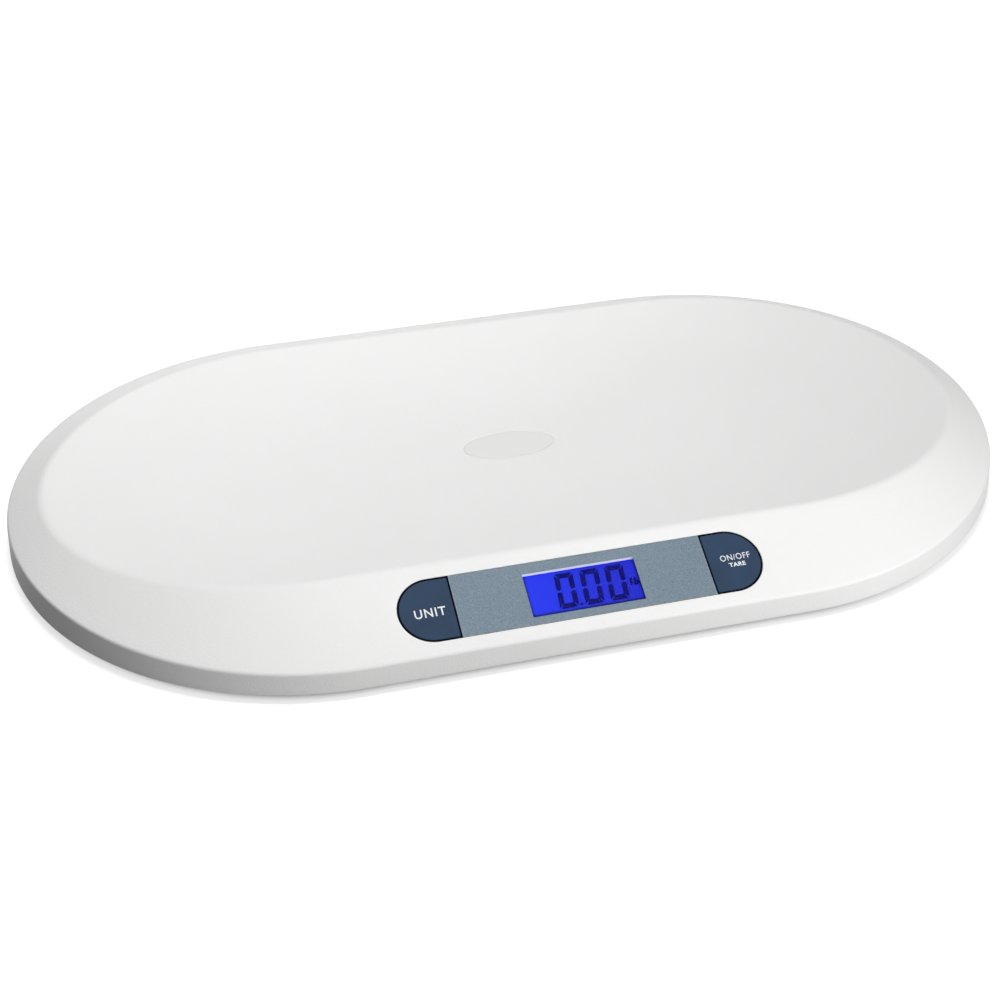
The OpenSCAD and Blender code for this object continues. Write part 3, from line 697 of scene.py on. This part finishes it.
def build_bezel():
    """A plate round the window: a pale wall with a painted glow at the top of the hole and deep
    blue ones of painted shade on the other sides, a flat lacquered face, and thin bright edges
    of painted highlight at the two ends."""
    hx, hv = KEY_EDGE - SLOT_GAP - BEZEL_FIT, PANEL_H - BEZEL_FIT
    body_v = hv - RIM_T

    def outer(d, w, v=hv):
        return ring_at(rounded_box(0, 0, hx - d, v - d, PLATE_CORNER), w)

    def hole(grow, w):
        return ring_at(rounded_box(0, WINDOW_V, WINDOW_L + grow, WINDOW_H + grow, HOLE_CORNER), w)

    rings = [hole(0, -BEZEL_T), hole(0, -0.22), hole(0.05, -0.10), hole(0.14, -0.02), hole(0.24, 0),
             hole(0.4, 0), outer(0.34, 0), outer(0.2, 0), outer(0.07, -0.05), outer(0, -0.18),
             outer(0, -LIP_T), outer(0, -LIP_T, body_v), outer(0, -BEZEL_T, body_v)]
    verts, faces = stack(rings, closed=True)
    upper_edge, up_slope = on_panel(0, WINDOW_V + WINDOW_H, 0), Vector((0, COS_A, SIN_A))
    # finishes by face: lacquer, the top wall's painted glow, the ends' painted highlight, the other
    # walls' painted shade
    plate, painted_glow, bright, deep = range(4)
    finish = [plate] * len(faces)
    for i, face in enumerate(faces):
        row = i // len(rings[0])
        if row in HOLE_WALL:
            at_top = all((verts[j] - upper_edge).dot(up_slope) > -NEAR for j in face)
            finish[i] = painted_glow if at_top else deep
        elif row in END_EDGES and all(abs(verts[j].x) > hx - NEAR for j in face):
            finish[i] = bright
    piece("panel_bezel", verts, faces, "casing", "bezel_silver", ["display_bezel"],
          [MATERIALS["bezel_silver"], WALL_PAINTED_GLOW, EDGE_PAINTED_HIGHLIGHT, WALL_PAINTED_SHADE], finish)


def build_window():
    lo, hi = -BEZEL_T - PANE_T, -BEZEL_T
    rings = [ring_at(rounded_box(0, WINDOW_V, PANE_L - d, PANE_H - d, 0.8), w)
             for d, w in ((0.1, lo), (0, lo + 0.1), (0, hi - 0.1), (0.1, hi))]
    piece("window_pane", *stack(rings), "casing", "window_clear", ["display_window"])


DIGIT_W, DIGIT_H, DIGIT_SLANT = 9.9, 20.0, 0.068
DIGIT_X, DIGIT_V = (-8.5, 4.85, 18.05), 0.1
BAR_V, BAR_H, CUT = 2.7, 2.9, 0.3         # widths of upright and level segments, half a gap
BAR_TIP = 0.28                            # length of an upright's point, to a level's width
POINT = (-2.75, -8.75, 0.85, 0.8)         # the decimal point's middle and half sizes
# the unit sign, l and b: two strokes and a bowl, so small that the bowl closes up
UNIT_X, UNIT_V = 27.0, -0.95
STROKES, STROKE_TOP, STROKE_FOOT = ((-2.2, -0.8), (-0.2, 1.15)), 2.3, -2.0
SIGN_BOWL = (1.25, -0.7, 1.35, 1.3)
# from just under the cell's face to above it; the bowl ends lower than the stroke it crosses
INK_LOW, INK_HIGH, BOWL_HIGH = -0.01, 0.02, 0.015


def slanted(points, x, v):
    return [(x + px + (pv * DIGIT_SLANT), v + pv) for px, pv in points]


def zero_segments():
    """The six lit segments of a nought, about its own middle."""
    hx, hv = DIGIT_W / 2, DIGIT_H / 2
    tip = CUT + BAR_H * BAR_TIP
    level = [(-hx + CUT * 2, hv), (hx - CUT * 2, hv), (hx - BAR_V + CUT, hv - BAR_H),
             (-hx + BAR_V - CUT, hv - BAR_H)]
    side = [(hx, hv - CUT * 2.2), (hx, tip), (hx - BAR_V / 2, CUT), (hx - BAR_V, tip),
            (hx - BAR_V, hv - BAR_H - CUT)]

    def flip(pts, sx, sv):
        return [(px * sx, pv * sv) for px, pv in pts]

    return ([level, flip(level, 1, -1)]
            + [flip(side, sx, sv) for sx in (1, -1) for sv in (1, -1)])


def build_display():
    low, top = GLASS_W - GLASS_T, GLASS_W - 0.02
    rings = [ring_at(rounded_box(0, WINDOW_V, GLASS_L - d, GLASS_H - d, 0.3, 2), w)
             for d, w in ((0.15, low), (0, low + 0.15), (0, top - 0.1), (0.1, top))]
    piece("display_cell", *stack(rings), "casing", "lcd_blue", ["lcd_cell"])

    def printed(outline, height=INK_HIGH):
        return stack([ring_at(outline, top + INK_LOW), ring_at(outline, top + height)])

    parts = [printed(slanted(s, x, DIGIT_V)) for x in DIGIT_X for s in zero_segments()]
    parts.append(printed(oval(*POINT, 24)))
    for left, right in STROKES:
        stroke = [(left, STROKE_TOP), (right, STROKE_TOP),
                  (right, STROKE_FOOT), (left, STROKE_FOOT)]
        parts.append(printed(slanted(stroke, UNIT_X, UNIT_V)))
    parts.append(printed(slanted(oval(*SIGN_BOWL, 24), UNIT_X, UNIT_V), BOWL_HIGH))
    piece("display_digits", *merge(*parts), "casing", "lcd_blue", materials=[INK])


PRINT_LOW, PRINT_HIGH = -0.03, 0.02       # from just under a key's face to above it


def legend(name, text, body, left, right, base, height, bold, spread):
    """Printed capitals that fill a box on a key's face."""
    curve = bpy.data.curves.new(name, "FONT")
    curve.body = text
    curve.offset = bold
    curve.space_character = spread
    curve.resolution_u = 6
    obj = new_object(name, curve)
    bpy.context.view_layer.update()
    solved = obj.evaluated_get(bpy.context.evaluated_depsgraph_get())
    mesh = bpy.data.meshes.new_from_object(solved)
    bpy.data.objects.remove(obj)
    bm = bmesh.new()
    bm.from_mesh(mesh)
    bmesh.ops.remove_doubles(bm, verts=bm.verts, dist=1e-5)
    made = bmesh.ops.extrude_face_region(bm, geom=bm.faces[:])
    for v in made["geom"]:
        if isinstance(v, bmesh.types.BMVert):
            v.co.z = 1
    xs, ys = [v.co.x for v in bm.verts], [v.co.y for v in bm.verts]
    x0, x1, y0, y1 = min(xs), max(xs), min(ys), max(ys)
    for v in bm.verts:
        x = left + (v.co.x - x0) / (x1 - x0) * (right - left)
        y = base + (v.co.y - y0) / (y1 - y0) * height
        v.co = on_panel(x, y, PRINT_HIGH if v.co.z > 0.5 else PRINT_LOW) * MM
    bmesh.ops.recalc_face_normals(bm, faces=bm.faces)
    bm.to_mesh(mesh)
    bm.free()
    mesh.name = name
    mesh.materials.clear()
    mesh.materials.append(PRINT)
    mesh.shade_flat()
    out = new_object(name, mesh)
    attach(out, body)


# how far in from the key's outline, and height: a narrowed foot, a side, a rounded edge
KEY_ROWS = ((0.25, -BEZEL_T), (0.05, -BEZEL_T + 0.15), (0, -BEZEL_T + 0.4), (0, -0.26),
            (0.04, -0.13), (0.13, -0.04), (0.27, 0), (0.42, 0))
POST_ROWS = ((POST_R - 0.3, POST_W), (POST_R, POST_W + 0.3), (POST_R, -BEZEL_T + 0.2))


def build_key(name, side):
    cap = stack([ring_at(d_shape(d), w, side) for d, w in KEY_ROWS])
    post = stack([ring_at(oval(KEY_X, 0, r, r, 60), w, side) for r, w in POST_ROWS])
    piece(name + "_cap", *merge(cap, post), name, "key_slate", [name], sharp=40)


build_bezel()
build_window()
build_display()
build_key("unit_key", -1)
build_key("power_key", 1)
legend("unit_legend", "UNIT", "unit_key", -86.9, -71.1, -3.85, 4.95, 0.012, 1.14)
legend("power_legend", "ON/OFF", "power_key", 73.4, 89.4, 0.15, 3.45, 0.003, 1.1)
legend("tare_legend", "TARE", "power_key", 76.9, 85.8, -3.7, 2.4, 0.03, 1.08)

# ---------- feet ----------

GROOVES, GROOVE_DEEP = (4.4, 7.0, 9.6, 12.2), 0.35
AXIS_R = 1.2                # the pad's profile starts this far out, its middle is flat
CORNERS = (("front_left", -1, -1), ("front_right", 1, -1),
           ("back_left", -1, 1), ("back_right", 1, 1))


def build_foot(corner, sx, sy):
    """A rubber pad with ring grooves, in a cup whose edges are rounded."""
    body, cx, cy = "foot_" + corner, sx * FOOT_X, sy * FOOT_Y
    pad = [(AXIS_R, 0)]
    for r in GROOVES:
        pad += [(r - 0.7, 0), (r - 0.45, GROOVE_DEEP), (r + 0.45, GROOVE_DEEP), (r + 0.7, 0)]
    pad += [(PAD_R - 0.8, 0), (PAD_R - 0.2, 0.25), (PAD_R, 0.8), (PAD_R, PAD_T), (AXIS_R, PAD_T)]
    piece("pad_" + corner, *lathe(pad, cx, cy), body, "pad_grey", ["foot_pad_" + corner])
    cup = [(BUTTON_R, PAD_T), (PAD_R + 0.05, PAD_T), (PAD_R + 0.05, CUP_Z + 0.15),
           (PAD_R + 0.2, CUP_Z), (CUP_R - 0.3, CUP_Z), (CUP_R - 0.08, CUP_Z + 0.1),
           (CUP_R, CUP_Z + 0.3), (CUP_R, CUP_TOP - 0.5), (CUP_R - 0.15, CUP_TOP - 0.15),
           (CUP_R - 0.5, CUP_TOP), (NECK_R + 0.3, CUP_TOP), (NECK_R + 0.05, CUP_TOP + 0.1),
           (NECK_R, CUP_TOP + 0.35), (NECK_R, FLANGE_Z), (FLANGE_R, FLANGE_Z),
           (FLANGE_R, FLANGE_TOP), (BUTTON_R, FLANGE_TOP), (BUTTON_R, CELL_Z)]
    piece("cup_" + corner, *lathe(cup, cx, cy), body, "base_white", ["foot_cup_" + corner])


for corner, sx, sy in CORNERS:
    build_foot(corner, sx, sy)

# ---------- the CAD's own solids ----------

SLOT_OF = {s["node"]: s["material_slot"] for s in frame["record"]["subparts"]}
BEVELLED = {"bottom_cover": 0.35, "battery_door": 0.3, "panel_carrier": 0.08}
for name, obj in NODES.items():
    obj.data.materials.clear()
    obj.data.materials.append(MATERIALS[SLOT_OF[name]])
    if name in BEVELLED:
        edge = obj.modifiers.new("edges", "BEVEL")
        edge.width = BEVELLED[name] * MM
        edge.segments = 2
        edge.limit_method = "ANGLE"
        edge.angle_limit = math.radians(50)

# ---------- camera, fitted to the photograph in a 1000 by 1000 frame ----------

CAM_AZ, CAM_EL, CAM_ROLL = -0.254, 0.601, -0.006          # radians
CAM_TARGET, CAM_DIST = Vector((-20.42, -54.08, 25.0)), 926.5
FOCAL_PX, FRAME_PX, SENSOR = 1717.83, 1000, 36.0


def build_camera():
    back = Vector((math.sin(CAM_AZ) * math.cos(CAM_EL), -math.cos(CAM_AZ) * math.cos(CAM_EL),
                   math.sin(CAM_EL)))
    right = (-back).cross(Vector((0, 0, 1))).normalized()
    up = right.cross(-back)
    cos_r, sin_r = math.cos(CAM_ROLL), math.sin(CAM_ROLL)
    turn = Matrix((right * cos_r + up * sin_r, -right * sin_r + up * cos_r, back)).transposed()
    data = bpy.data.cameras.new("camera")
    data.sensor_width = SENSOR
    data.lens = FOCAL_PX / FRAME_PX * SENSOR
    data.clip_start, data.clip_end = 0.01, 50
    cam = new_object("camera", data)
    cam.matrix_world = Matrix.Translation((CAM_TARGET + back * CAM_DIST) * MM) @ turn.to_4x4()
    bpy.context.scene.camera = cam


build_camera()

# ---------- floor, world and lamps ----------


def seen_directly(tree):
    """1 for camera, glossy and transmission rays."""
    path = tree.nodes.new("ShaderNodeLightPath").outputs
    both = maths(tree, "MAXIMUM", path["Is Camera Ray"], path["Is Glossy Ray"])
    return maths(tree, "MAXIMUM", both, path["Is Transmission Ray"])


STAGE_HALF, STAGE_Z = 6.0, -0.0002
FLOOR_PALE, FLOOR_BOUNCE = 0.74, 0.04         # as seen, and as it lights the object
# the floor's glow under the object, beside it and away from it; the low glow under and beside it is
# a painted shadow
LIFT_UNDER, LIFT_NEAR, LIFT_FAR = 0.0, 0.68, 1.0
# metres out from the object's outline at which the glow changes
UNDER_AT, NEAR_AT, BESIDE_AT, FAR_AT = -0.0095, -0.0015, 0.002, 0.055


def floor_glow_painted_shadow(tree):
    """How strongly the floor glows, by the distance from the object's outline: low under the object
    and just beside it, a painted contact shadow. The outline is two half circles joined by
    straight sides, so the distance is exact."""
    xyz = shaded_xyz(tree)
    past_straight = maths(tree, "SUBTRACT", maths(tree, "ABSOLUTE", xyz["X"]), SIDE_HALF * MM)
    round_end = tree.nodes.new("ShaderNodeCombineXYZ")
    tree.links.new(maths(tree, "MAXIMUM", past_straight, 0.0), round_end.inputs["X"])
    tree.links.new(xyz["Y"], round_end.inputs["Y"])
    size = tree.nodes.new("ShaderNodeVectorMath")
    size.operation = "LENGTH"
    tree.links.new(round_end.outputs["Vector"], size.inputs[0])
    out_by = maths(tree, "SUBTRACT", size.outputs["Value"], HALF_W * MM)
    # painted shadow: the glow falls away under the object and just beside it
    near = remap(tree, out_by, UNDER_AT, NEAR_AT, LIFT_UNDER, LIFT_NEAR, "SMOOTHSTEP")
    far = remap(tree, out_by, BESIDE_AT, FAR_AT, 0, LIFT_FAR, "SMOOTHSTEP")
    return maths(tree, "MAXIMUM", near, far)


def build_floor():
    mesh = bpy.data.meshes.new("floor")
    corners = [(sx * STAGE_HALF, sy * STAGE_HALF, STAGE_Z)
               for sx, sy in ((-1, -1), (1, -1), (1, 1), (-1, 1))]
    mesh.from_pydata(corners, [], [(0, 1, 2, 3)])
    floor = new_object("floor", mesh)
    m = bpy.data.materials.new("floor")
    m.use_nodes = True
    tree = m.node_tree
    tree.nodes.clear()
    seen = seen_directly(tree)
    bounce, pale = [(grey, grey, grey, 1) for grey in (FLOOR_BOUNCE, FLOOR_PALE)]
    matt = tree.nodes.new("ShaderNodeBsdfDiffuse")
    tree.links.new(mixed(tree, bounce, pale, seen), matt.inputs["Color"])
    lift = tree.nodes.new("ShaderNodeEmission")
    tree.links.new(maths(tree, "MULTIPLY", seen, floor_glow_painted_shadow(tree)), lift.inputs["Strength"])
    add = tree.nodes.new("ShaderNodeAddShader")
    tree.links.new(matt.outputs["BSDF"], add.inputs[0])
    tree.links.new(lift.outputs["Emission"], add.inputs[1])
    out = tree.nodes.new("ShaderNodeOutputMaterial")
    tree.links.new(add.outputs["Shader"], out.inputs["Surface"])
    mesh.materials.append(m)


AMBIENT = 0.01


def build_world():
    """White where it is seen, and a faint even fill as light."""
    world = bpy.data.worlds.new("world")
    bpy.context.scene.world = world
    world.use_nodes = True
    tree = world.node_tree
    tree.nodes.clear()
    fill = tree.nodes.new("ShaderNodeBackground")
    white = tree.nodes.new("ShaderNodeBackground")
    fill.inputs["Color"].default_value = white.inputs["Color"].default_value = (1, 1, 1, 1)
    fill.inputs["Strength"].default_value = AMBIENT
    mix = tree.nodes.new("ShaderNodeMixShader")
    tree.links.new(seen_directly(tree), mix.inputs["Fac"])
    tree.links.new(fill.outputs["Background"], mix.inputs[1])
    tree.links.new(white.outputs["Background"], mix.inputs[2])
    out = tree.nodes.new("ShaderNodeOutputWorld")
    tree.links.new(mix.outputs["Shader"], out.inputs["Surface"])


def build_lamp(name, at, aim, data):
    """A soft lamp that the gloss doesn't show; at and aim are points in metres."""
    lamp = new_object(name, data)
    lamp.visible_camera = lamp.visible_glossy = lamp.visible_transmission = False
    lamp.location = at
    lamp.rotation_mode = "QUATERNION"
    lamp.rotation_quaternion = (Vector(at) - Vector(aim)).to_track_quat("Z", "Y")


def disk_lamp(name, at, aim, size, power):
    """Size in metres, power in watts."""
    data = bpy.data.lights.new(name, "AREA")
    data.shape = "DISK"
    data.size = size
    data.energy = power
    build_lamp(name, at, aim, data)


def far_lamp(name, azimuth, elevation, spread, power):
    """Azimuth is counted from +X towards +Y, all angles in degrees."""
    az, el = math.radians(azimuth), math.radians(elevation)
    data = bpy.data.lights.new(name, "SUN")
    data.angle = math.radians(spread)
    data.energy = power
    towards = Vector((math.cos(az) * math.cos(el), math.sin(az) * math.cos(el), math.sin(el)))
    build_lamp(name, towards * 3, ORIGIN, data)


build_floor()
build_world()
disk_lamp("overhead", (-0.01, -0.14, 0.90), ORIGIN, 0.4, 4.5)
disk_lamp("front_right", (0.30, -0.55, 0.04), (0.15, -0.15, 0.02), 0.3, 1.3)
disk_lamp("left_fill", (-0.35, 0.30, 0.50), ORIGIN, 0.3, 0.70)
far_lamp("front_low", -71, 18, 40, 1.34)
far_lamp("back_lamp", 90, 30, 40, 0.52)

bpy.context.scene.view_settings.view_transform = "Standard"
